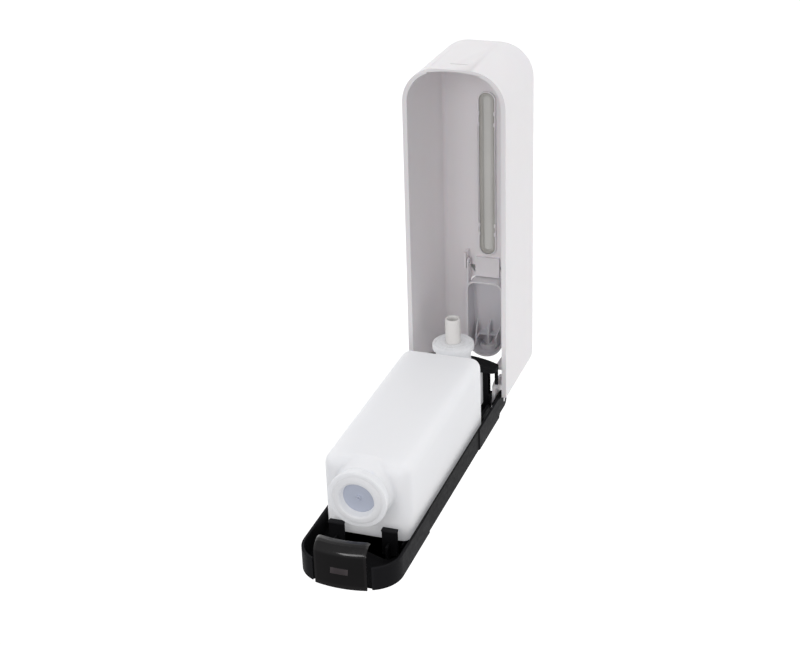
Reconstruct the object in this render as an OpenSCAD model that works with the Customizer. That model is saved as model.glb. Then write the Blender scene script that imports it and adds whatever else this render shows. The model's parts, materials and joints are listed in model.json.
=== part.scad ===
// Wall mounted soap dispenser: a cover that swings down on a hinge at the foot of
// a wall plate, a refillable bottle with a press pump, and a push button in the cover.
// The wall is the plane y = 0, the room is towards -y, and +z is up. The origin is the
// middle of the four wall screw holes. Cover parts are drawn closed, then swung open.

/* [Cover] */
// Width of the cover at its rim
cover_w = 95.8; // [90:0.1:100]
// Width lost on each side between the rim and the front
cover_draft = 1.3; // [0:0.1:2]
// Depth from the wall to the outside of the front
cover_front = 105.2; // [104:0.1:108]
// Outer radius of the two top corners
cover_corner_r = 33.2; // [31:0.1:36]
// Thickness of the cover walls
cover_wall = 2.8; // [2.4:0.1:3.2]
// Radius between the front and the foot of the cover
foot_round_r = 16; // [8:0.5:20]
// How far the cover is swung open at rest
open_angle = 91.2; // [0:0.1:91.2]

/* [Wall plate] */
// Half width of the wall plate over its side walls
plate_half_w = 43.2; // [42:0.1:43.3]
// Height of the side walls above the wall
plate_wall_h = 21; // [18:0.5:22]
// Thickness of the floor
floor_t = 2.4; // [2:0.1:3]
// Distance between the two columns of screw holes
screw_span_x = 46; // [30:1:50]
// Distance between the two rows of screw holes
screw_span_z = 150; // [120:1:220]
// Radius of a wall screw hole
screw_r = 2.5; // [2:0.1:3]

/* [Bottle] */
// Half width of the bottle
bottle_half_w = 38; // [36:0.5:38.5]
// Depth from the wall to the outside of the bottle
bottle_front = 81.2; // [76:0.2:84]
// Wall thickness of the bottle
bottle_wall = 1.4; // [1:0.1:2]
// Outer radius of the fill cap
cap_r = 25.7; // [22:0.1:26]

/* [Pump] */
// Outer radius of the pump stem
stem_r = 7.1; // [6:0.1:7.5]
// Radius of the bore in the stem
stem_bore_r = 4.5; // [3.5:0.1:5]
// Bore radius of the pump chamber
chamber_r = 10; // [9:0.1:10.5]
// Radius of the collar's disc
collar_r = 19.5; // [18:0.1:20]

/* [Push button] */
// Half width of the push button
button_half_w = 18.5; // [17:0.1:18.6]
// Angle between the button's face and the cover's front
button_tilt = 5.3; // [3:0.1:5.3]
// Gap between the button and its opening
button_gap = 0.8; // [0.5:0.1:1.2]

/* [Hidden] */
$fn = 64;

// Small overlap that makes two pieces of one solid merge
eps = 0.05;
// Clearance between parts that nest
nest_gap = 0.4;

// The cover's hinge, at the foot of the plate
hinge_depth = 11.6;
hinge_z = -165;
hinge_pin_r = 2.5;
running_gap = 0.05;

// The plate's side walls run between these two heights
plate_foot_z = -148.5;
plate_top_z = 151.5;
plate_corner_r = 28;
wall_t = 2.4;
// The foot of the plate and of the pump housing is one large arc
foot_arc_r = 79;
foot_arc_z = -87.7;
foot_half_w = 40.8;
// The plate's top wall is open between its two stubs, for the latch
latch_gap_half_w = 25.4;
latch_half_w = 22.5;
latch_face_z = 155.1;
latch_bow_r = 90;

// The cover, closed
cover_rim = 1;
cover_foot_z = -158;
cover_top_z = 157.3;
front_round = 9;
rim_half_w = plate_half_w + nest_gap;
nest_depth = 23;
inner_top_z = 154.1;
recess_top_z = 155.5;
recess_bow_r = 135;
// The foot of the cover is open between its two corner floors, for the pump
foot_gap_half_w = 20.3;
foot_floor_depth = 55.5;
foot_floor_t = 2.5;
ear_r = 20;
ear_web_z = -147;

// The pump's axis runs straight out from the wall at this height
pump_z = -145;
neck_r = 14.5;
neck_top = 70;

collar_top = 77.2;
stem_tip = 100.5;
stem_floor = 66.5;
spring_turns = 8;
spring_r = 8;
wire_r = 0.6;
spring_start = 31.2;
spring_end = 63.3;

// The fill cap turns about an upright axis at this depth
cap_depth = 56.5;
fill_neck_r = 21;
cap_top_z = 111.6;
cap_well_z = 101;
cap_skirt_z = 99;

// The button's pivot in the cover
pivot_depth = 95;
pivot_z = -64.5;
button_pin_r = 1.5;
button_rim = 88;
button_top_z = -82.4;
button_corner_r = 9;
button_wall = 2;
// The button's foot is round
button_foot_r = 18.6;
button_foot_z = -143.9;
// The pusher that presses the pump stem
nose_depth = 99.9;
nose_r = 9;
shelf_depth = 101;
shelf_low_z = -145.2;
shelf_high_z = -143.8;
pusher_back = 111.4;
// A half round guard stands round the soap mouth
guard_depth = 107;
guard_r = 9.6;
guard_t = 1.3;
guard_top_z = -155;
mouth_depth = 107.5;
mouth_r = 4.6;

// The sight window in the cover's front
window_half_w = 5.9;
window_low_z = -55.5;
window_high_z = 104.4;
lens_depth = 102.2;
// The lens has a flange inside the window, and a thin frame round the flange
flange_w = 1.6;
flange_t = 1.6;
frame_w = 1.2;
clip_heights = [-36, -27, 75, 86];

// ---------------------------------------------------------------- helpers

// Draws a profile in x and z, and gives it thickness from depth d0 to depth d1
module slab(d0, d1) {
    translate([0, -d0, 0]) rotate([90, 0, 0]) linear_extrude(d1 - d0) children();
}

// Draws a profile in depth and z, and gives it thickness from x0 to x1
module side_slab(x0, x1) {
    translate([x0, 0, 0]) rotate([0, 0, -90]) rotate([90, 0, 0])
        mirror([0, 0, 1]) linear_extrude(x1 - x0) children();
}

// A block between two depths
module block(x0, x1, d0, d1, z0, z1) {
    translate([x0, -d1, z0]) cube([x1 - x0, d1 - d0, z1 - z0]);
}

// A round bar that points out from the wall
module out_rod(r, d0, d1, x = 0, z = 0) {
    translate([x, -d0, z]) rotate([90, 0, 0]) cylinder(r = r, h = d1 - d0);
}

// A round bar that lies along x
module cross_rod(r, x0, x1, depth, z) {
    translate([x0, -depth, z]) rotate([0, 90, 0]) cylinder(r = r, h = x1 - x0);
}

// Turns a profile of radius and depth about an axis that points out from the wall
module turned(z = 0) {
    translate([0, 0, z]) rotate([90, 0, 0]) rotate_extrude() children();
}

// The same piece on both sides
module both_sides() {
    children();
    mirror([1, 0, 0]) children();
}

// Swings a cover part from closed to its open rest place
module swung_open() {
    translate([0, -hinge_depth, hinge_z]) rotate([open_angle, 0, 0])
        translate([0, hinge_depth, -hinge_z]) children();
}

// A rectangle whose two top corners are round
module round_top(half_w, z0, z1, r) {
    translate([-half_w, z0]) square([2 * half_w, z1 - r - z0]);
    translate([r - half_w, z1 - r - eps]) square([2 * (half_w - r), r + eps]);
    for (side = [-1, 1]) translate([side * (half_w - r), z1 - r]) circle(r);
}

// An upright strip with two round ends
module strip(half_w, z0, z1) {
    translate([-half_w, z0 + half_w]) square([2 * half_w, z1 - z0 - 2 * half_w]);
    for (z = [z0 + half_w, z1 - half_w]) translate([0, z]) circle(half_w);
}

// The area above the arc at the foot
module above_foot(r = foot_arc_r) {
    translate([0, foot_arc_z]) circle(r, $fn = 128);
    translate([-60, foot_arc_z]) square([120, 300]);
}

// A rectangle with four round corners
module round_rect(x0, x1, y0, y1, r) {
    translate([x0 + r, y0]) square([x1 - x0 - 2 * r, y1 - y0]);
    translate([x0, y0 + r]) square([x1 - x0, y1 - y0 - 2 * r]);
    for (x = [x0 + r, x1 - r], y = [y0 + r, y1 - r]) translate([x, y]) circle(r);
}

// A box between two depths whose twelve edges are round
module soft_box(half_w, d0, d1, z0, z1, r) {
    intersection() {
        slab(d0, d1) round_rect(-half_w, half_w, z0, z1, r);
        side_slab(-half_w, half_w) round_rect(d0, d1, z0, z1, r);
        translate([0, 0, z0]) linear_extrude(z1 - z0)
            round_rect(-half_w, half_w, -d1, -d0, r);
    }
}

// ---------------------------------------------------------------- wall plate

module plate_outline(inset = 0) {
    intersection() {
        round_top(plate_half_w - inset, -180, plate_top_z - inset, plate_corner_r - inset);
        translate([-60, plate_foot_z]) square([120, 320]);
    }
}

module plate_floor() {
    slab(0, floor_t) {
        plate_outline();
        intersection() {
            above_foot();
            translate([-foot_half_w, -170]) square([2 * foot_half_w, 30]);
        }
    }
}

// One post that holds the top end of the bottle, with a lip and a gusset
module bottle_post() {
    block(16.5, 30.2, 1, 26.4, 98.2, 100.8);
    block(16.5, 30.2, 24.6, 26.4, 96.8, 102.2);
    block(22, 24, 1, 14, 100, 108);
}

module hinge_arm() {
    difference() {
        union() {
            cross_rod(8, 38.3, plate_half_w, hinge_depth, hinge_z);
            block(38.3, plate_half_w, hinge_depth - 8, hinge_depth + 8, hinge_z, -148.4);
            block(38.3, plate_half_w, floor_t - eps, 19.6, -150, -140);
        }
        cross_rod(hinge_pin_r, 30, 50, hinge_depth, hinge_z);
    }
}

module back_plate() color([0.13, 0.13, 0.14]) {
    difference() {
        union() {
            plate_floor();
            difference() {
                slab(0, plate_wall_h) plate_outline();
                slab(floor_t, 40) plate_outline(wall_t);
                // The top wall is open for the latch
                block(-latch_gap_half_w, latch_gap_half_w, -1, 40, 146, 170);
                block(-60, 60, floor_t, 40, -160, -145);
            }
            both_sides() {
                block(plate_half_w - wall_t, plate_half_w, 0, plate_wall_h,
                    plate_foot_z, -140);
                block(28.5, 30.5, 1, 5.2, -105, 88);
                bottle_post();
                hinge_arm();
            }
        }
        // The side walls step in along their middle
        both_sides() block(plate_half_w - 0.9, 50, -1, 40, -86, 56.5);
        // Wall screw holes
        for (x = [-1, 1] * screw_span_x / 2, z = [-1, 1] * screw_span_z / 2)
            out_rod(screw_r, -1, 10, x, z);
        // Housing screw holes
        for (x = [-20, 20], z = [-118, -150]) out_rod(1.5, -1, 10, x, z);
        // Slots that the cover's hinge ears swing through
        both_sides() block(33.4, 38, -1, 10, -175, -140);
        // Room for the latch's foot
        block(-latch_gap_half_w, latch_gap_half_w, -1, 40, 147.6, 170);
    }
}

// Depth and height of the latch: an upright tab whose head turns back inwards
module latch_profile(inset) {
    head_d = 31.6;
    head_z = latch_face_z - 8;
    translate([0.4 + inset, head_z + 0.8]) square([head_d - 0.4, 7.2 - inset]);
    translate([head_d - 3, head_z - 3.9 - inset]) square([11 - inset, 4 + inset]);
    intersection() {
        translate([head_d, head_z]) circle(8 - inset, $fn = 96);
        translate([head_d - 10, head_z - eps]) square([20, 20]);
    }
}

// The latch's outer face is slightly bowed
module latch_bow(r) {
    slab(-2, 60) translate([0, latch_face_z - latch_bow_r]) circle(r, $fn = 180);
}

module latch_tab() color([0.15, 0.15, 0.16]) {
    difference() {
        intersection() {
            side_slab(-latch_half_w, latch_half_w) latch_profile(0);
            latch_bow(latch_bow_r);
            slab(-1, 60) round_top(latch_half_w, 130, latch_face_z, 6);
        }
        intersection() {
            side_slab(-40, 40) {
                latch_profile(2.2);
                translate([2.6, 130]) square([34.8, 20]);
            }
            latch_bow(latch_bow_r - 2.4);
        }
    }
    // The catch: proud at the wall side, and flush at the room side
    side_slab(-7.6, 7.6) polygon([[14.7, latch_face_z - 1], [14.7, latch_face_z + 1.1],
        [15.6, latch_face_z + 1.1], [20.4, latch_face_z - 0.2], [20.4, latch_face_z - 1]]);
}

// ---------------------------------------------------------------- pump housing

module housing_deck() {
    difference() {
        slab(48.5, 53) intersection() {
            above_foot();
            round_top(foot_half_w, -170, -143, 4);
        }
        out_rod(16.8, 40, 60, 0, pump_z);
    }
}

// The face beside the pump, with a tall window in it
module housing_face() {
    difference() {
        block(26, foot_half_w, floor_t, 49, -154, -151.5);
        block(31.3, 37.6, 22, 46.8, -156, -150);
        // The cover's ear and web swing through here
        block(33.4, 50, 0, 33, -156, -150);
    }
}

// The inner cheek carries the inside end of the hinge pin
module housing_cheek() {
    block(28.6, 31.2, floor_t, 49, -160, -151.6);
    block(28.6, 31.2, floor_t, hinge_depth + 6, hinge_z, -152);
    cross_rod(6, 28.6, 31.2, hinge_depth, hinge_z);
}

module pump_housing() color([0.12, 0.12, 0.13]) {
    difference() {
        union() {
            housing_deck();
            both_sides() {
                housing_face();
                housing_cheek();
                // Feet that take the housing screws
                for (z = [-118, -150]) block(14, 26, floor_t, 5, z - 5, z + 5);
                block(24, 33.2, floor_t, 5, -155, -113);
                block(30.6, 33.2, floor_t, 12, -150, -119);
            }
            // Curved wall round the foot
            slab(floor_t, 49) difference() {
                intersection() {
                    above_foot();
                    translate([-31.2, -170]) square([62.4, 18]);
                }
                above_foot(foot_arc_r - 2.4);
            }
        }
        both_sides() cross_rod(hinge_pin_r, 20, 50, hinge_depth, hinge_z);
        for (x = [-20, 20], z = [-118, -150]) out_rod(1.5, -1, 10, x, z);
    }
}

module housing_screws() color([0.62, 0.62, 0.64]) {
    for (x = [-20, 20], z = [-118, -150]) {
        out_rod(1.5, 0.6, 5, x, z);
        difference() {
            out_rod(2.8, 5, 6.6, x, z);
            out_rod(1.2, 5.8, 8, x, z);
        }
    }
}

module hinge_pins() color([0.7, 0.7, 0.72]) {
    both_sides() {
        cross_rod(hinge_pin_r, 28.6, plate_half_w - 0.1, hinge_depth, hinge_z);
    }
}

// ---------------------------------------------------------------- bottle

// The bottle's body, with a foot that drops behind the pump housing
module bottle_form(inset) {
    r = 9.5;
    soft_box(bottle_half_w - inset, 5.6 + inset, bottle_front - inset,
        -115.5 + inset, 89.8 - inset, r - inset);
    intersection() {
        block(inset - 25.5, 25.5 - inset, 7.4 + inset, 46 - inset, -170, -95);
        slab(0, 60) above_foot(75.6 - inset);
    }
}

module bottle() color([0.93, 0.94, 0.95]) {
    difference() {
        union() {
            bottle_form(0);
            // Neck for the pump
            out_rod(neck_r, 44, neck_top, 0, pump_z);
            // Shoulder and neck for the fill cap
            intersection() {
                translate([0, -cap_depth, 82]) cylinder(r1 = 30, r2 = 24.2, h = 16.6);
                block(-40, 40, 0, bottle_front - 0.4, 80, 120);
            }
            translate([0, -cap_depth, 86]) cylinder(r = fill_neck_r, h = 20.4);
        }
        bottle_form(bottle_wall);
        out_rod(12.6, 30, 80, 0, pump_z);
        translate([0, -cap_depth, 80]) cylinder(r = fill_neck_r - 1.6, h = 40);
        intersection() {
            translate([0, -cap_depth, 81.9]) cylinder(r1 = 28.4, r2 = 19.5, h = 15);
            block(-40, 40, 0, bottle_front - bottle_wall - 0.4, 80, 120);
        }
    }
}

module fill_cap() color([0.92, 0.93, 0.94]) {
    translate([0, -cap_depth, 0]) rotate_extrude() polygon([
        [0, cap_well_z - 1.4], [14.4, cap_well_z - 1.4], [15.8, cap_top_z - 3.4],
        [19.2, cap_top_z - 3.4], [fill_neck_r + 0.1, cap_top_z - 3.4],
        [fill_neck_r + 0.1, cap_skirt_z], [cap_r - 2.3, cap_skirt_z],
        [cap_r - 2, cap_top_z - 4.8], [cap_r - 0.4, cap_top_z - 4.4],
        [cap_r, cap_top_z - 3.6], [cap_r, cap_top_z - 2.4], [cap_r - 0.8, cap_top_z - 1.6],
        [21.2, cap_top_z - 1.4], [20.4, cap_top_z - 0.4], [19.6, cap_top_z],
        [16.6, cap_top_z], [15.4, cap_top_z - 0.6], [13.4, cap_well_z],
        [2.6, cap_well_z], [2.6, cap_well_z + 2.2], [1.6, cap_well_z + 2.2],
        [1.6, cap_well_z + 0.6], [0, cap_well_z + 0.6]]);
}

module cap_gasket() color([0.8, 0.81, 0.83]) {
    translate([0, -cap_depth, 106.4]) difference() {
        cylinder(r = fill_neck_r, h = cap_top_z - 3.4 - 106.4);
        translate([0, 0, -1]) cylinder(r = fill_neck_r - 2.6, h = 5);
    }
}

// A small mushroom valve under the vent hole lets air in as soap goes out
module vent_valve() color([0.75, 0.77, 0.8]) {
    translate([0, -cap_depth, cap_well_z - 1.4]) rotate([180, 0, 0]) {
        cylinder(r = 2.4, h = 1.6);
        translate([0, 0, 1.6]) cylinder(r = 1.2, h = 2.4);
    }
}

// ---------------------------------------------------------------- pump

module pump_chamber() color([0.85, 0.87, 0.88]) {
    turned(pump_z) {
        // Barrel, with a flange that sits on the neck's gasket
        translate([chamber_r, 28]) square([2.2, 42.8]);
        translate([chamber_r, 70.8]) square([4.4, 1.7]);
        // Floor with the inlet seat
        translate([2.6, 28]) square([chamber_r - 2.5, 2.5]);
        // Spigot for the suction tube
        translate([2.6, 20]) square([1, 8.1]);
    }
}

module pump_collar() color([0.86, 0.88, 0.89]) {
    turned(pump_z) {
        difference() {
            union() {
                translate([0, 54]) square([16.4, 18]);
                translate([0, 70.2]) square([collar_r, collar_top - 71.4]);
                translate([0, 70.2]) square([collar_r - 1.2, collar_top - 70.2]);
            }
            // Bore round the neck, pocket for the wiper, and hole for the stem
            translate([-1, 50]) square([15.9, 22.5]);
            translate([-1, 72]) square([10.4, 3]);
            translate([-1, 72]) square([stem_r + 1.2, 10]);
        }
    }
}

module collar_gasket() color([0.75, 0.76, 0.78]) {
    difference() {
        out_rod(neck_r, neck_top, 70.8, 0, pump_z);
        out_rod(12.6, 60, 80, 0, pump_z);
    }
}

module stem_wiper() color([0.3, 0.3, 0.32]) {
    difference() {
        out_rod(9.4, 72.5, 75, 0, pump_z);
        out_rod(stem_r + running_gap, 60, 80, 0, pump_z);
    }
}

module suction_tube() color([0.88, 0.89, 0.9]) {
    difference() {
        out_rod(4.6, 9.4, 27.8, 0, pump_z);
        out_rod(2.6, 5, 20, 0, pump_z);
        out_rod(3.6, 20, 40, 0, pump_z);
    }
}

// A ball of radius r rests on the rim of a hole of radius seat_r
module valve_ball(r, seat_r, seat_depth) {
    translate([0, -seat_depth - sqrt(r * r - seat_r * seat_r) - 0.03, pump_z]) sphere(r);
}

module inlet_ball() color([0.72, 0.74, 0.76]) {
    valve_ball(3.5, 2.6, 30.5);
}

module outlet_ball() color([0.72, 0.74, 0.76]) {
    valve_ball(3, 2.2, stem_floor);
}

// A point on the spring's centre line, a turns in
function coil(a, r) = [r * cos(360 * a), r * sin(360 * a)];

// The coil is a tube with a square row of sides swept along a helix
module plunger_spring() color([0.7, 0.71, 0.73]) {
    sides = 6;
    steps = spring_turns * 16;
    points = [for (i = [0 : steps], k = [0 : sides - 1])
        let (turn = i / 16, a = 360 * k / sides,
            c = coil(turn, spring_r + wire_r * cos(a)),
            rise = (spring_end - spring_start) * i / steps)
        [c[0], -(spring_start + rise + wire_r * sin(a)), pump_z + c[1]]];
    walls = [for (i = [0 : steps - 1], k = [0 : sides - 1])
        [i * sides + k, i * sides + (k + 1) % sides,
            (i + 1) * sides + (k + 1) % sides, (i + 1) * sides + k]];
    first_end = [for (k = [sides - 1 : -1 : 0]) k];
    last_end = [for (k = [0 : sides - 1]) steps * sides + k];
    polyhedron(points, concat([first_end], walls, [last_end]));
}

module pump_stem() color([0.95, 0.95, 0.94]) {
    difference() {
        union() {
            out_rod(stem_r, 64, stem_tip, 0, pump_z);
            out_rod(9.2, 64, 65.8, 0, pump_z);
        }
        out_rod(stem_bore_r, stem_floor, 120, 0, pump_z);
        out_rod(2.2, 60, 80, 0, pump_z);
    }
}

module piston_seal() color([0.3, 0.3, 0.32]) {
    difference() {
        out_rod(chamber_r - running_gap, 65.8, 71.2, 0, pump_z);
        out_rod(stem_r, 60, 80, 0, pump_z);
    }
}

// ---------------------------------------------------------------- cover

// Outline of the cover between two depths, narrowing towards the front
module cover_form(inset, front, foot_z) {
    half_rim = cover_w / 2 - inset;
    half_front = half_rim - cover_draft;
    top = cover_top_z - inset;
    r = cover_corner_r - inset;
    soft = front_round - inset * 1.8;
    hull() {
        slab(cover_rim, cover_rim + 0.1) round_top(half_rim, foot_z, top, r);
        slab(front - soft, front - soft + 0.1)
            round_top(half_front, foot_z, top, r - cover_draft);
        for (a = [15 : 15 : 90])
            slab(front - soft * (1 - sin(a)) - 0.1, front - soft * (1 - sin(a)))
                translate([0, -soft * (1 - cos(a))])
                    round_top(half_front - soft * (1 - cos(a)), foot_z, top,
                        r - cover_draft - soft * (1 - cos(a)));
    }
}

// Side view of the cover's foot, where the front turns under
module foot_profile(inset, foot_z) {
    front = cover_front - inset;
    r = foot_round_r - inset;
    translate([-5, foot_z]) square([front - r + 5, 400]);
    translate([front - r - 1, cover_foot_z + inset + r]) square([r + 1, 400]);
    translate([front - r, cover_foot_z + inset + r]) circle(r);
}

// Side view of a hinge ear
module ear_profile() {
    web_d = hinge_depth + 12.4;
    translate([hinge_depth, hinge_z]) circle(10.4);
    intersection() {
        translate([hinge_depth, hinge_z]) circle(ear_r);
        translate([0.9, hinge_z]) square([40, 30]);
    }
    translate([hinge_depth, hinge_z + 2]) square([15.4, ear_web_z - hinge_z - 2]);
    translate([web_d, hinge_z + 2]) square([3, ear_web_z - hinge_z - 2]);
}

module hinge_ear() {
    difference() {
        union() {
            side_slab(34.2, 37.2) ear_profile();
            // Web that joins the ear to the cover's side
            block(37, 45.8, hinge_depth + 12.4, hinge_depth + 15.4, cover_foot_z + 0.5,
                ear_web_z);
        }
        cross_rod(hinge_pin_r + running_gap, 30, 40, hinge_depth, hinge_z);
    }
}

module button_bracket() {
    difference() {
        block(button_half_w + 0.5, button_half_w + 2.5, pivot_depth - 5, 103, pivot_z - 6, -54);
        cross_rod(button_pin_r, 10, 30, pivot_depth, pivot_z);
        block(10, 30, pivot_depth - 1.1, pivot_depth + 1.1, -61, -50);
    }
}

module cover_shell() color([0.92, 0.92, 0.93]) swung_open() {
    difference() {
        union() {
            difference() {
                intersection() {
                    cover_form(0, cover_front, cover_foot_z);
                    side_slab(-60, 60) foot_profile(0, cover_foot_z);
                }
                intersection() {
                    cover_form(cover_wall, cover_front - cover_wall, -200);
                    side_slab(-60, 60) foot_profile(cover_wall, -200);
                }
            }
            // Thicker band where the cover nests over the plate
            difference() {
                intersection() {
                    cover_form(0.6, cover_front, cover_foot_z);
                    slab(cover_rim, nest_depth) translate([-60, cover_foot_z]) square([120, 400]);
                }
                slab(-1, 40)
                    round_top(rim_half_w, -200, inner_top_z, plate_corner_r + nest_gap + 1.2);
            }
            // Corner floors at the foot
            intersection() {
                cover_form(0.3, cover_front, cover_foot_z);
                side_slab(-60, 60) foot_profile(0.3, cover_foot_z - 0.3);
                both_sides() block(foot_gap_half_w, 46.5, foot_floor_depth, 110,
                    cover_foot_z, cover_foot_z + foot_floor_t);
            }
            // Raised panel between the push button and the sight window
            block(-12, 12, 99, 103, -80.9, window_low_z - 5.5);
            both_sides() {
                hinge_ear();
                button_bracket();
            }
        }
        // Recess for the latch, with a pocket for its catch and a slit for the key
        intersection() {
            block(-24.4, 24.4, -1, 44, 145, recess_top_z + 1);
            slab(-2, 60) translate([0, recess_top_z - recess_bow_r])
                circle(recess_bow_r, $fn = 240);
        }
        block(-8.2, 8.2, 13.9, 21.4, 145, recess_top_z + 1.1);
        block(-8.2, 8.2, 17.8, 19.4, 145, 170);
        // Sight window
        slab(80, 120) strip(window_half_w, window_low_z, window_high_z);
        // Opening for the push button
        slab(88, 120) button_outline(button_gap, -175);
    }
}

// The outline of the button, grown by a margin
module button_outline(grow, foot_z) {
    round_top(button_half_w + grow, foot_z, button_top_z + grow, button_corner_r + grow);
}

// The window's outline, grown by a margin
module window_outline(grow) {
    strip(window_half_w + grow, window_low_z - grow, window_high_z + grow);
}

module sight_lens() color([0.75, 0.74, 0.71]) swung_open() {
    difference() {
        union() {
            slab(lens_depth - eps, cover_front - 0.5) window_outline(-0.1);
            slab(lens_depth - flange_t, lens_depth) window_outline(flange_w);
        }
        // Channel down the middle of the lens
        slab(80, lens_depth + 1.2) strip(3.8, window_low_z + 2.2, window_high_z - 2.2);
    }
}

// The frame that holds the lens in, with clips over its flange
module lens_frame() color([0.84, 0.84, 0.86]) swung_open() {
    difference() {
        slab(lens_depth - 2.4, lens_depth) window_outline(flange_w + frame_w);
        slab(80, 120) window_outline(flange_w + 0.1);
    }
    for (side = [-1, 1], z = clip_heights)
        translate([side * (window_half_w + flange_w + 0.3), 0, 0])
            block(-0.9, 0.9, lens_depth - 3, lens_depth - flange_t - 0.05, z - 2, z + 2);
}

// ---------------------------------------------------------------- push button

// Tilts the face of the button about its pivot
module tilted() {
    translate([0, -pivot_depth, pivot_z]) rotate([-button_tilt, 0, 0])
        translate([0, pivot_depth, -pivot_z]) children();
}

// The button's outside, or its inside at a wall's thickness
module button_form(inset) {
    intersection() {
        hull() {
            slab(button_rim - inset, cover_front - 1) button_outline(-inset, -180);
            tilted() {
                slab(cover_front - 2.2 - inset, cover_front - 1.4 - inset)
                    button_outline(-1 - inset, -180);
                slab(cover_front - 0.2 - inset, cover_front - inset)
                    button_outline(-3.2 - inset, -180);
            }
        }
        slab(80, 130) {
            translate([0, button_foot_z]) circle(button_foot_r - inset, $fn = 128);
            translate([-30, button_foot_z]) square([60, 80]);
        }
    }
}

// A slanted fin beside the pump stem, in side view
module side_fin_profile() {
    polygon([[93, -153], [93, shelf_high_z + 0.6], [97, -139], [103, -135.5],
        [pusher_back + 2, -131], [pusher_back + 2, -153]]);
}

// The middle fin has a rounded nose that enters the stem's bore
module nose_fin_profile() {
    intersection() {
        translate([nose_depth + nose_r, pump_z]) circle(nose_r);
        translate([nose_depth - 1, pump_z - 10]) square([8.4, 20]);
    }
    polygon([[102, -155], [102, -137], [104, -134.6], [pusher_back, -131],
        [pusher_back, -156]]);
}

module pusher() {
    side_slab(-0.9, 0.9) nose_fin_profile();
    intersection() {
        // The side fins lean towards the middle
        both_sides() translate([10.2, -93, 0]) rotate([0, 0, 11.3]) translate([0, 93, 0])
            side_slab(-0.7, 0.7) side_fin_profile();
        button_form(button_wall / 2);
    }
    // The shelf is notched for the stem, whose rim it presses
    block(-10.6, 10.6, shelf_depth, pusher_back, shelf_low_z, shelf_high_z);
    both_sides() block(8.4, 10.6, 93, shelf_depth + 1, shelf_low_z, shelf_high_z);
}

// Half round wall round the soap mouth
module mouth_guard() {
    foot = button_foot_z - button_foot_r + button_wall / 2;
    intersection() {
        translate([0, -guard_depth, foot]) difference() {
            cylinder(r = guard_r, h = guard_top_z - foot);
            translate([0, 0, -1]) cylinder(r = guard_r - guard_t, h = 20);
        }
        block(-20, 20, 90, guard_depth, -170, -150);
    }
    both_sides() block(guard_r - guard_t, guard_r, guard_depth - eps, pusher_back + 0.6,
        foot + 2, guard_top_z);
}

module push_button() color([0.88, 0.88, 0.89]) swung_open() {
    difference() {
        union() {
            difference() {
                button_form(0);
                button_form(button_wall);
            }
            // Ears that reach up to the pivot, and lugs that stop the button
            both_sides() {
                block(16.6, button_half_w, pivot_depth - 4, pivot_depth + 4, -101, pivot_z);
                cross_rod(4, 16.6, button_half_w, pivot_depth, pivot_z);
                block(18.3, 20.4, 99.4, 101.8, -95, -88);
                cross_rod(2.2, 18.3, 20.4, 99.6, -136);
            }
            pusher();
            mouth_guard();
        }
        // Mouth that lets the soap fall
        translate([0, -mouth_depth, -175]) cylinder(r = mouth_r, h = 15);
        both_sides() cross_rod(button_pin_r + 0.06, 10, 30, pivot_depth, pivot_z);
    }
}

module button_pins() color([0.7, 0.7, 0.72]) swung_open() {
    both_sides() cross_rod(button_pin_r, 16.4, button_half_w + 2.5, pivot_depth, pivot_z);
}

back_plate();
latch_tab();
pump_housing();
housing_screws();
hinge_pins();
bottle();
fill_cap();
cap_gasket();
vent_valve();
pump_chamber();
pump_collar();
collar_gasket();
stem_wiper();
suction_tube();
inlet_ball();
plunger_spring();
pump_stem();
piston_seal();
outlet_ball();
cover_shell();
sight_lens();
lens_frame();
push_button();
button_pins();
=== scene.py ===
import bpy
import bmesh
import json
import math
from mathutils import Matrix, Vector


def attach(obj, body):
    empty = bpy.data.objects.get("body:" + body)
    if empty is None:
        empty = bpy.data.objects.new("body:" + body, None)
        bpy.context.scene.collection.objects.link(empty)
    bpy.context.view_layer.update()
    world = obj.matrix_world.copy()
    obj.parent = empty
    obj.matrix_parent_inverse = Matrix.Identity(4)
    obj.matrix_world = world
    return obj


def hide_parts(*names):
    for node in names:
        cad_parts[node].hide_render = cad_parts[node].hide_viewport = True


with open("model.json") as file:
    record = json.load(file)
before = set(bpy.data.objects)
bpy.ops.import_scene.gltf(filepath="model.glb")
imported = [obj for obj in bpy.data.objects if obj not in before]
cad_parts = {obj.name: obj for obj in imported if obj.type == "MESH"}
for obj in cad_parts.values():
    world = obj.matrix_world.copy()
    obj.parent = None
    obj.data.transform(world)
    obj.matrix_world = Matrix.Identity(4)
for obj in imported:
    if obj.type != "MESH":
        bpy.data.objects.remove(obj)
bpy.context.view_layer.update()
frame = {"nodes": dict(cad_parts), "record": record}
MM = 0.001

# ------------------------------------------------------------------ camera
CAMERA_PLACE = Vector((-0.45795, -0.80578, 1.21807))
CAMERA_RIGHT = Vector((-0.9419, 0.0346, -0.3342))
CAMERA_UP = Vector((0.1186, -0.8965, -0.4269))
LENS = 78.0


def make_camera():
    data = bpy.data.cameras.new("photo_camera")
    data.lens = LENS
    data.sensor_width = 36
    data.clip_end = 50
    camera = bpy.data.objects.new("photo_camera", data)
    bpy.context.scene.collection.objects.link(camera)
    right = CAMERA_RIGHT.normalized()
    back = right.cross(CAMERA_UP).normalized()
    up = back.cross(right)
    turn = Matrix((right, up, back)).transposed().to_4x4()
    camera.matrix_world = Matrix.Translation(CAMERA_PLACE) @ turn
    bpy.context.scene.camera = camera


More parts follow.
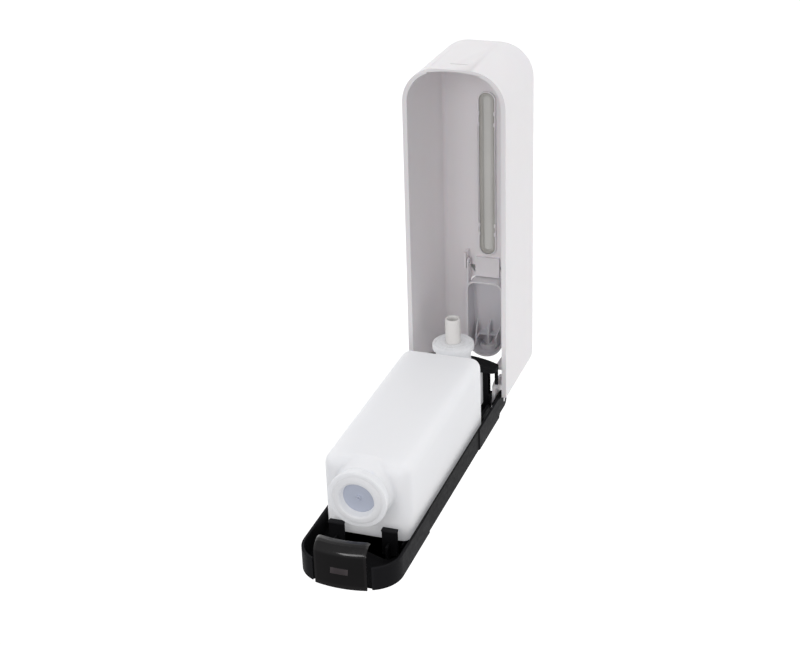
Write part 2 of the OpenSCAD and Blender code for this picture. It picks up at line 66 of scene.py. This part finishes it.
# ------------------------------------------------------------------ materials
class Look:
    """A procedural material built in steps on one Principled shader."""

    def __init__(self, name, colour, rough, **sockets):
        self.material = bpy.data.materials.new(name)
        self.material.use_nodes = True
        self.tree = self.material.node_tree
        self.shader = self.tree.nodes["Principled BSDF"]
        self.colour = colour
        self.rough = rough
        self.normal = None
        self.shader.inputs["Base Color"].default_value = (*colour, 1)
        self.shader.inputs["Roughness"].default_value = rough
        for key, value in sockets.items():
            self.shader.inputs[key.replace("_", " ")].default_value = value
        self.place = self.add("ShaderNodeTexCoord").outputs["Object"]

    def add(self, kind, **values):
        node = self.tree.nodes.new(kind)
        for key, value in values.items():
            setattr(node, key, value)
        return node

    def link(self, a, b):
        self.tree.links.new(a, b)

    def noise(self, scale, detail=3.0, stretch=(1, 1, 1)):
        mapping = self.add("ShaderNodeMapping")
        mapping.inputs["Scale"].default_value = stretch
        self.link(self.place, mapping.inputs["Vector"])
        tex = self.add("ShaderNodeTexNoise")
        tex.inputs["Scale"].default_value = scale
        tex.inputs["Detail"].default_value = detail
        self.link(mapping.outputs["Vector"], tex.inputs["Vector"])
        return tex.outputs["Fac"]

    def spread(self, value, low, high, to_low, to_high):
        node = self.add("ShaderNodeMapRange")
        for key, number in (("From Min", low), ("From Max", high),
                            ("To Min", to_low), ("To Max", to_high)):
            node.inputs[key].default_value = number
        self.link(value, node.inputs["Value"])
        return node.outputs["Result"]

    def vary_rough(self, value, amount):
        rough = self.spread(value, 0.3, 0.7, self.rough - amount, self.rough + amount)
        self.link(rough, self.shader.inputs["Roughness"])

    def tint(self, factor, colour, source=None):
        mix = self.add("ShaderNodeMix", data_type="RGBA")
        self.link(factor, mix.inputs["Factor"])
        if source is None:
            mix.inputs["A"].default_value = (*self.colour, 1)
        else:
            self.link(source, mix.inputs["A"])
        mix.inputs["B"].default_value = (*colour, 1)
        self.link(mix.outputs["Result"], self.shader.inputs["Base Color"])
        return mix.outputs["Result"]

    def edges(self, low, high, strength):
        """0 on flat places, up to strength on outer edges."""
        geometry = self.add("ShaderNodeNewGeometry")
        return self.spread(geometry.outputs["Pointiness"], low, high, 0.0, strength)

    def bump(self, value, strength, distance):
        node = self.add("ShaderNodeBump")
        node.inputs["Strength"].default_value = strength
        node.inputs["Distance"].default_value = distance
        self.link(value, node.inputs["Height"])
        if self.normal is not None:
            self.link(self.normal, node.inputs["Normal"])
        self.normal = node.outputs["Normal"]
        self.link(self.normal, self.shader.inputs["Normal"])


def white_plastic(name, colour, rough):
    look = Look(name, colour, rough, IOR=1.5, Coat_Weight=0.12, Coat_Roughness=0.15,
                Subsurface_Weight=0.06, Subsurface_Scale=0.002)
    cloud = look.spread(look.noise(14, 4), 0.35, 0.7, 0.0, 0.5)
    shade = look.tint(cloud, tuple(c * 0.965 for c in colour))
    look.tint(look.edges(0.50, 0.56, 0.35), (0.93, 0.90, 0.89), shade)
    look.vary_rough(look.noise(120, 4), 0.06)
    look.bump(look.noise(900, 2), 0.05, 0.0002)
    look.bump(look.noise(28, 2), 0.10, 0.0006)
    return look.material


def black_plastic(name, colour, rough, grain, shine=0.02):
    look = Look(name, colour, rough, IOR=1.46, Specular_IOR_Level=shine)
    cloud = look.spread(look.noise(30, 5), 0.35, 0.7, 0.0, 0.7)
    shade = look.tint(cloud, tuple(c * 0.6 for c in colour))
    look.tint(look.edges(0.51, 0.58, 0.35), tuple(c * 3.5 for c in colour), shade)
    look.vary_rough(look.noise(260, 5), 0.07)
    look.bump(look.noise(2600, 2), grain, 0.0002)
    look.bump(look.noise(60, 2), 0.06, 0.0006)
    return look.material


def milky_plastic(name, colour, rough, scatter, shade_colour, painted_glow=0.0):
    look = Look(name, colour, rough, IOR=1.5, Subsurface_Weight=scatter,
                Subsurface_Scale=0.03, Specular_IOR_Level=0.3)
    look.shader.inputs["Subsurface Radius"].default_value = (0.9, 0.95, 1.0)
    # Emission at painted_glow strength is painted light: the milky part glows though it is
    # no lamp
    look.shader.inputs["Emission Color"].default_value = (0.97, 0.98, 1.0, 1)
    look.shader.inputs["Emission Strength"].default_value = painted_glow
    cloud = look.spread(look.noise(16, 3, (1, 1, 0.25)), 0.3, 0.75, 0.0, 0.6)
    look.tint(cloud, shade_colour)
    look.vary_rough(look.noise(90, 4, (1, 1, 0.3)), 0.07)
    look.bump(look.noise(70, 3, (1, 1, 0.22)), 0.10, 0.0010)
    look.bump(look.noise(700, 2), 0.05, 0.0002)
    return look.material


def make_looks():
    looks = {
        "cover_white": white_plastic("cover_white", (0.90, 0.882, 0.905), 0.42),
        "button_white": white_plastic("button_white", (0.82, 0.81, 0.84), 0.38),
        "plate_black": black_plastic("plate_black", (0.0115, 0.0115, 0.0125), 0.44, 0.10),
        # A lighter copy of the black plastic for the catch: painted light on its raised
        # face
        "catch_painted_lit": black_plastic("catch_painted_lit", (0.052, 0.045, 0.047), 0.5, 0.12),
        "latch_gloss": black_plastic("latch_gloss", (0.0075, 0.0068, 0.0070), 0.15, 0.015,
                                     0.50),
        # The last number of a milky look is its painted glow
        "bottle_milky": milky_plastic("bottle_milky", (0.70, 0.70, 0.71), 0.52, 0.6,
                                      (0.67, 0.675, 0.695), 0.20),
        "cap_milky": milky_plastic("cap_milky", (0.60, 0.605, 0.62), 0.33, 0.30,
                                   (0.57, 0.575, 0.60), 0.24),
        # A darker, bluer copy of the cap's milky plastic for the recessed well: painted
        # shade
        "well_painted_shade": milky_plastic("well_painted_shade", (0.42, 0.46, 0.57), 0.40, 0.25,
                                   (0.38, 0.42, 0.54), 0.06),
        "pump_clear": milky_plastic("pump_clear", (0.62, 0.625, 0.64), 0.32, 0.35,
                                    (0.58, 0.585, 0.61), 0.20),
        "stem_white": milky_plastic("stem_white", (0.86, 0.845, 0.825), 0.38, 0.10,
                                    (0.74, 0.72, 0.695)),
        "lens_grey": milky_plastic("lens_grey", (0.56, 0.55, 0.51), 0.42, 0.20,
                                   (0.42, 0.41, 0.375)),
    }
    rubber = Look("seal_rubber", (0.20, 0.205, 0.215), 0.72)
    rubber.tint(rubber.spread(rubber.noise(80, 4), 0.35, 0.7, 0, 0.6), (0.15, 0.155, 0.16))
    rubber.vary_rough(rubber.noise(300, 4), 0.06)
    rubber.bump(rubber.noise(1400, 3), 0.15, 0.0002)
    looks["seal_rubber"] = rubber.material
    steel = Look("steel", (0.60, 0.60, 0.61), 0.28, Metallic=1.0)
    steel.tint(steel.spread(steel.noise(900, 3, (0.03, 1, 1)), 0.3, 0.7, 0, 0.7),
               (0.50, 0.50, 0.51))
    steel.vary_rough(steel.noise(600, 3, (0.03, 1, 1)), 0.08)
    steel.bump(steel.noise(1800, 2, (0.03, 1, 1)), 0.08, 0.0001)
    looks["steel"] = steel.material
    return looks


# ------------------------------------------------------------------ mesh helpers
# Lengths are in millimetres up to the point where a vertex is made
HINGE = Vector((0, -11.6, -165)) * MM
OPEN_ANGLE = math.radians(91.2)
# Carries a point of the closed cover to its place on the open one
SWUNG = (Matrix.Translation(HINGE) @ Matrix.Rotation(OPEN_ANGLE, 4, "X")
         @ Matrix.Translation(-HINGE))


def finish_piece(name, bm, body, slot_name, look, *nodes):
    mesh = bpy.data.meshes.new(name)
    bmesh.ops.recalc_face_normals(bm, faces=bm.faces)
    for face in bm.faces:
        face.smooth = True
    bm.to_mesh(mesh)
    bm.free()
    piece = bpy.data.objects.new(name, mesh)
    bpy.context.scene.collection.objects.link(piece)
    piece.data.materials.append(looks[look or slot_name])
    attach(piece, body)
    if nodes:
        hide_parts(*nodes)
    return piece


def add_bevel(piece, width, segments, angle=30):
    bevel = piece.modifiers.new("bevel", "BEVEL")
    bevel.width = width * MM
    bevel.segments = segments
    bevel.limit_method = "ANGLE"
    bevel.angle_limit = math.radians(angle)
    return bevel


def soften(name, node, body, slot_name, width, merge=0.8, clamp=False):
    """A copy of a CAD node with rounded edges; faces within merge degrees are joined."""
    bm = bmesh.new()
    bm.from_mesh(frame["nodes"][node].data)
    bmesh.ops.remove_doubles(bm, verts=bm.verts, dist=2e-6)
    bmesh.ops.dissolve_limit(bm, angle_limit=math.radians(merge), verts=bm.verts,
                             edges=bm.edges)
    piece = finish_piece(name, bm, body, slot_name, None, node)
    bevel = add_bevel(piece, width, 2, 35)
    bevel.use_clamp_overlap = clamp
    bevel.miter_outer = "MITER_ARC"
    even = piece.modifiers.new("even_normals", "WEIGHTED_NORMAL")
    even.weight = 100
    even.keep_sharp = True


def fillet(points, steps=4):
    """Rounds the corners of a profile of (radius, height, corner radius)."""
    out = []
    for i, (x, y, r) in enumerate(points):
        if r == 0 or i in (0, len(points) - 1):
            out.append((x, y))
            continue
        corner = Vector((x, y))
        back = Vector(points[i - 1][:2]) - corner
        on = Vector(points[i + 1][:2]) - corner
        cut = min(r / math.tan(back.angle(on) / 2), back.length * 0.48, on.length * 0.48)
        start = corner + back.normalized() * cut
        end = corner + on.normalized() * cut
        for k in range(steps + 1):
            f = k / steps
            out.append(tuple(start * (1 - f) ** 2 + corner * 2 * f * (1 - f) + end * f * f))
    return out


def lathe(bm, profile, place, sides):
    """Turns a profile of (radius, height) about the local z axis."""
    rings = []
    for r, h in profile:
        if r < 1e-4:
            rings.append([bm.verts.new(place @ Vector((0, 0, h * MM)))])
        else:
            rings.append([bm.verts.new(place @ Vector((
                r * MM * math.cos(2 * math.pi * k / sides),
                r * MM * math.sin(2 * math.pi * k / sides), h * MM)))
                for k in range(sides)])
    for a, b in zip(rings, rings[1:]):
        for k in range(sides):
            m = (k + 1) % sides
            if len(a) == 1:
                bm.faces.new((a[0], b[k], b[m]))
            elif len(b) == 1:
                bm.faces.new((a[k], b[0], a[m]))
            else:
                bm.faces.new((a[k], b[k], b[m], a[m]))


# Upright axis of the fill cap, and the pump's axis, whose local z points out of the wall
CAP_AXIS = Matrix.Translation(Vector((0, -56.5, 0)) * MM)
PUMP_AXIS = Matrix.Translation(Vector((0, 0, -145)) * MM) @ Matrix.Rotation(
    math.radians(90), 4, "X")


# ------------------------------------------------------------------ bottle
def rounded_box(bm, low, high, radius, cells):
    """A box with round edges and corners, as a grid wrapped on a rounded cube."""
    low, high = Vector(low), Vector(high)
    middle = (low + high) / 2
    half = (high - low) / 2
    core = half - Vector((radius, radius, radius))
    made = bmesh.ops.create_cube(bm, size=2)
    edges = list({e for v in made["verts"] for e in v.link_edges})
    bmesh.ops.subdivide_edges(bm, edges=edges, cuts=cells, use_grid_fill=True)
    for v in bm.verts:
        # A tagged vertex belongs to a box made earlier in the same mesh
        if v.tag:
            continue
        p = Vector([v.co[k] * half[k] for k in range(3)])
        inner = Vector([max(-core[k], min(core[k], p[k])) for k in range(3)])
        out = p - inner
        if out.length > 1e-6:
            p = inner + out.normalized() * radius
        v.co = (middle + p) * MM
        v.tag = True


def make_bottle():
    bm = bmesh.new()
    rounded_box(bm, (-38, -81.2, -115.5), (38, -5.6, 89.8), 9.5, 48)
    rounded_box(bm, (-25.5, -46, -162.5), (25.5, -7.4, -100), 5, 20)
    lathe(bm, [(0, 80), (27.2, 80), (25.6, 89.5), (24.4, 95), (24.0, 97.4), (23.0, 98.5),
               (21.0, 98.6), (20.6, 106.3), (17.6, 106.3), (17.2, 100.6), (0, 100.6)],
          CAP_AXIS, 64)
    lathe(bm, [(0, 40), (14.5, 40), (14.5, 69.9), (0, 69.9)], PUMP_AXIS, 64)
    bottle = finish_piece("bottle_body", bm, "wall_plate", "bottle_milky", None, "bottle")
    remesh = bottle.modifiers.new("remesh", "REMESH")
    remesh.mode = "VOXEL"
    remesh.voxel_size = 1.25 * MM
    remesh.use_smooth_shade = True
    smooth = bottle.modifiers.new("smooth", "SMOOTH")
    smooth.factor = 0.5
    smooth.iterations = 8


# ------------------------------------------------------------------ fill cap
def make_cap():
    bm = bmesh.new()
    profile = fillet([
        (14.2, 99.6, 0), (14.6, 99.7, 0.5), (16.0, 108.2, 0.3), (20.9, 108.3, 0.2),
        (21.1, 108.0, 0.1), (21.15, 99.0, 0.2), (23.4, 99.0, 0.3), (23.7, 106.8, 0.8),
        (25.3, 107.2, 0.5), (25.7, 108.2, 0.6), (25.6, 109.6, 0.6), (24.6, 110.1, 0.5),
        (21.8, 110.2, 0.6), (20.8, 111.2, 0.5), (19.6, 111.6, 0.8), (16.8, 111.6, 0.9),
        (15.2, 110.6, 0.8), (13.6, 102.0, 0.5), (13.4, 101.0, 0)])
    lathe(bm, profile, CAP_AXIS, 128)
    finish_piece("fill_cap_ring", bm, "fill_cap", "cap_milky", None, "fill_cap")
    floor = bmesh.new()
    lathe(floor, fillet([
        (13.9, 103.0, 0), (0.8, 103.0, 0.2), (0.8, 106.4, 0.2), (1.3, 106.9, 0.3),
        (2.1, 106.5, 0.5), (2.4, 104.9, 0.6), (4.6, 104.6, 0.5), (14.0, 104.6, 0)]),
        CAP_AXIS, 96)
    # The recessed well floor gets the darker, bluer painted shade
    finish_piece("fill_cap_well", floor, "fill_cap", "cap_milky", "well_painted_shade")


# ------------------------------------------------------------------ pump
def make_pump():
    bm = bmesh.new()
    lathe(bm, fillet([
        (7.35, 75.1, 0), (7.35, 77.0, 0.4), (9.0, 77.2, 0.3), (10.6, 77.1, 0.4),
        (11.0, 76.5, 0.3), (12.8, 76.5, 0.3), (13.2, 77.0, 0.4), (15.4, 77.0, 0.4),
        (15.9, 76.4, 0.3), (17.8, 76.3, 0.6), (19.2, 75.5, 0.8), (19.5, 74.2, 0.5),
        (19.5, 70.6, 0.4), (19.0, 70.2, 0.3), (16.4, 70.2, 0.6), (16.4, 54.4, 0.3),
        (16.0, 54.0, 0.2), (14.95, 54.0, 0.2), (14.9, 72.4, 0.2), (9.5, 72.5, 0.2),
        (9.4, 75.1, 0.2), (7.35, 75.1, 0)]), PUMP_AXIS, 128)
    finish_piece("pump_collar_disc", bm, "wall_plate", "pump_clear", None, "pump_collar")
    stem = bmesh.new()
    lathe(stem, fillet([
        (0, 64.0, 0), (9.0, 64.0, 0.3), (9.2, 65.6, 0.3), (7.3, 65.8, 0.6),
        (7.1, 68.0, 0.5), (7.1, 99.6, 0.8), (6.6, 100.5, 0.7), (5.2, 100.5, 0.6),
        (4.6, 99.4, 0.8), (4.5, 66.6, 0.2), (2.3, 66.5, 0.2), (2.2, 64.1, 0)]),
        PUMP_AXIS, 96)
    finish_piece("pump_stem_tube", stem, "pump_stem", "stem_white", None, "pump_stem")


# ------------------------------------------------------------------ latch
LATCH_HALF_W = 22.5
LATCH_FACE_Z = 155.1
LATCH_COLUMNS = 36
LATCH_FLAT_DEPTH = 28.5
LATCH_FLAT_ROWS = 12
# The face drops by x * x / LATCH_BOW away from the middle
LATCH_BOW = 180


def latch_point(x, depth, z):
    return Vector((x, -depth, z - x * x / LATCH_BOW)) * MM


def make_latch():
    """A bowed tab whose head rolls over towards the room."""
    path = fillet([(0.6, LATCH_FACE_Z, 0), (32.8, LATCH_FACE_Z, 6.5), (38.2, 150.2, 2.2),
                   (39.5, 147.4, 1.2), (39.5, 143.4, 0)], 8)
    start = path[0][0]
    spots = [(start + (LATCH_FLAT_DEPTH - start) * k / LATCH_FLAT_ROWS, path[0][1])
             for k in range(LATCH_FLAT_ROWS)]
    spots += path[1:]
    bm = bmesh.new()
    grid = []
    for d, z in spots:
        row = []
        for k in range(LATCH_COLUMNS + 1):
            x = -LATCH_HALF_W + 2 * LATCH_HALF_W * k / LATCH_COLUMNS
            # The two outer corners of the head are eased
            ease = 1.2 * max(0.0, (abs(x) - LATCH_HALF_W + 3) / 3) ** 2 if d > 36 else 0.0
            row.append(bm.verts.new(latch_point(x, d - ease, z)))
        grid.append(row)
    for a, b in zip(grid, grid[1:]):
        for k in range(LATCH_COLUMNS):
            bm.faces.new((a[k], a[k + 1], b[k + 1], b[k]))
    latch = finish_piece("latch_body", bm, "latch", "plate_black", "latch_gloss",
                         "latch_tab")
    # The face looks up, so the wall thickness goes down and inwards
    solid = latch.modifiers.new("wall", "SOLIDIFY")
    solid.thickness = 2.2 * MM
    solid.offset = -1
    if latch.data.polygons[0].normal.z < 0:
        latch.data.flip_normals()
    add_bevel(latch, 0.5, 3, 50)


def make_catch():
    """The catch stands on the latch's face as a wedge of (depth, height)."""
    outline = [(14.7, 153.6), (14.7, 156.2), (15.6, 156.25), (20.4, 154.95), (20.4, 153.6)]
    bm = bmesh.new()
    sides = [[bm.verts.new(latch_point(x, d, z)) for d, z in outline]
             for x in (-7.6, -3.8, 0, 3.8, 7.6)]
    for a, b in zip(sides, sides[1:]):
        for k in range(len(outline)):
            m = (k + 1) % len(outline)
            bm.faces.new((a[k], b[k], b[m], a[m]))
    bm.faces.new(sides[0])
    bm.faces.new(list(reversed(sides[-1])))
    # The catch takes the lighter black: painted light on its ramp
    catch = finish_piece("latch_catch", bm, "latch", "plate_black", "catch_painted_lit")
    add_bevel(catch, 0.25, 2)


# ------------------------------------------------------------------ lens
WINDOW_HALF_W = 5.9
WINDOW_LOW_Z = -55.5
WINDOW_HIGH_Z = 104.4
ARC_STEPS = 24
FLANGE_FACE_DEPTH = 100.55
MARK_HEIGHTS = (-17, 15, 51, 84)
MARK_SIZE = (2.6, 0.35, 0.6)


def lens_ring(bm, half_w, depth):
    """A closed row of vertices round an upright strip with two round ends."""
    grow = half_w - WINDOW_HALF_W
    high = WINDOW_HIGH_Z + grow - half_w
    low = WINDOW_LOW_Z - grow + half_w
    row = []
    for centre, start in ((high, 0), (low, math.pi)):
        for k in range(ARC_STEPS + 1):
            a = start + math.pi * k / ARC_STEPS
            point = Vector((half_w * math.cos(a), -depth, centre + half_w * math.sin(a)))
            row.append(bm.verts.new(SWUNG @ (point * MM)))
    return row


def bridge(bm, rows):
    count = len(rows[0])
    for a, b in zip(rows, rows[1:]):
        for k in range(count):
            bm.faces.new((a[k], a[(k + 1) % count], b[(k + 1) % count], b[k]))
    bm.faces.new(rows[-1])


def make_lens():
    """A frosted pane: a flat flange round a channel that stands out in the window."""
    bm = bmesh.new()
    inside = [lens_ring(bm, *ring) for ring in (
        (7.5, 102.2), (7.5, 100.9), (7.2, 100.6), (4.6, 100.6), (4.1, 100.9),
        (3.8, 103.0), (3.3, 103.4))]
    outside = [lens_ring(bm, *ring) for ring in ((5.8, 102.2), (5.8, 104.4), (5.5, 104.7))]
    bridge(bm, inside)
    bridge(bm, inside[:1] + outside)
    finish_piece("lens_pane", bm, "cover", "lens_grey", None, "sight_lens")


def make_lens_marks():
    """Fine level marks across both sides of the flange."""
    bm = bmesh.new()
    for z in MARK_HEIGHTS:
        for side in (-1, 1):
            middle = Vector((side * WINDOW_HALF_W, -FLANGE_FACE_DEPTH, z))
            for v in bmesh.ops.create_cube(bm, size=1)["verts"]:
                offset = Vector([v.co[k] * MARK_SIZE[k] for k in range(3)])
                v.co = SWUNG @ ((middle + offset) * MM)
    marks = finish_piece("lens_marks", bm, "cover", "lens_grey", None)
    add_bevel(marks, 0.08, 2)


# ------------------------------------------------------------------ studio
FLOOR_SIZE = 30
FLOOR_Z = -1.2


def make_floor():
    bpy.ops.mesh.primitive_plane_add(size=FLOOR_SIZE, location=(0, 0, FLOOR_Z))
    floor = bpy.context.object
    floor.name = "floor"
    ground = Look("floor", (0.97, 0.97, 0.97), 0.9)
    ground.vary_rough(ground.noise(4, 2), 0.04)
    ground.shader.inputs["Emission Color"].default_value = (1, 1, 1, 1)
    ground.shader.inputs["Emission Strength"].default_value = 0.66
    floor.data.materials.append(ground.material)


def area_light(name, place, aim, size, power, colour):
    data = bpy.data.lights.new(name, "AREA")
    data.shape = "SQUARE"
    data.size = size
    data.energy = power
    data.color = colour
    light = bpy.data.objects.new(name, data)
    bpy.context.scene.collection.objects.link(light)
    light.location = place
    light.rotation_euler = (Vector(aim) - Vector(place)).to_track_quat("-Z", "Y").to_euler()


def make_world():
    """Soft light that is brighter from the room than from behind the wall."""
    world = bpy.data.worlds.new("studio")
    bpy.context.scene.world = world
    world.use_nodes = True
    tree = world.node_tree
    place = tree.nodes.new("ShaderNodeTexCoord")
    parts = tree.nodes.new("ShaderNodeSeparateXYZ")
    ramp = tree.nodes.new("ShaderNodeMapRange")
    ramp.interpolation_type = "SMOOTHSTEP"
    for key, number in (("From Min", -0.2), ("From Max", 0.6),
                        ("To Min", 0.50), ("To Max", 0.20)):
        ramp.inputs[key].default_value = number
    back = tree.nodes["Background"]
    back.inputs["Color"].default_value = (0.975, 0.98, 1.0, 1)
    tree.links.new(place.outputs["Generated"], parts.inputs[0])
    tree.links.new(parts.outputs["Y"], ramp.inputs["Value"])
    tree.links.new(ramp.outputs["Result"], back.inputs["Strength"])


# ------------------------------------------------------------------ build
make_camera()
looks = make_looks()
for part in frame["record"]["subparts"]:
    node = frame["nodes"][part["node"]]
    node.data.materials.clear()
    node.data.materials.append(looks[part["material_slot"]])

soften("cover_body", "cover_shell", "cover", "cover_white", 0.7,
       merge=0.05, clamp=True)
soften("push_button_body", "push_button", "push_button", "button_white", 0.4)
soften("lens_bezel", "lens_frame", "cover", "cover_white", 0.3)
soften("plate_tray", "back_plate", "wall_plate", "plate_black", 0.5)
soften("pump_housing_body", "pump_housing", "wall_plate", "plate_black", 0.5)
make_latch()
make_catch()
make_lens()
make_lens_marks()
make_bottle()
make_cap()
make_pump()

make_floor()
area_light("side", (-1.5, -0.4, 1.7), (0, -0.15, -0.15), 0.8, 7, (1.0, 0.985, 0.975))
area_light("front", (0.25, -0.95, 2.0), (0, -0.2, -0.15), 0.8, 12, (1.0, 0.985, 0.99))
make_world()
bpy.context.scene.view_settings.view_transform = "Standard"
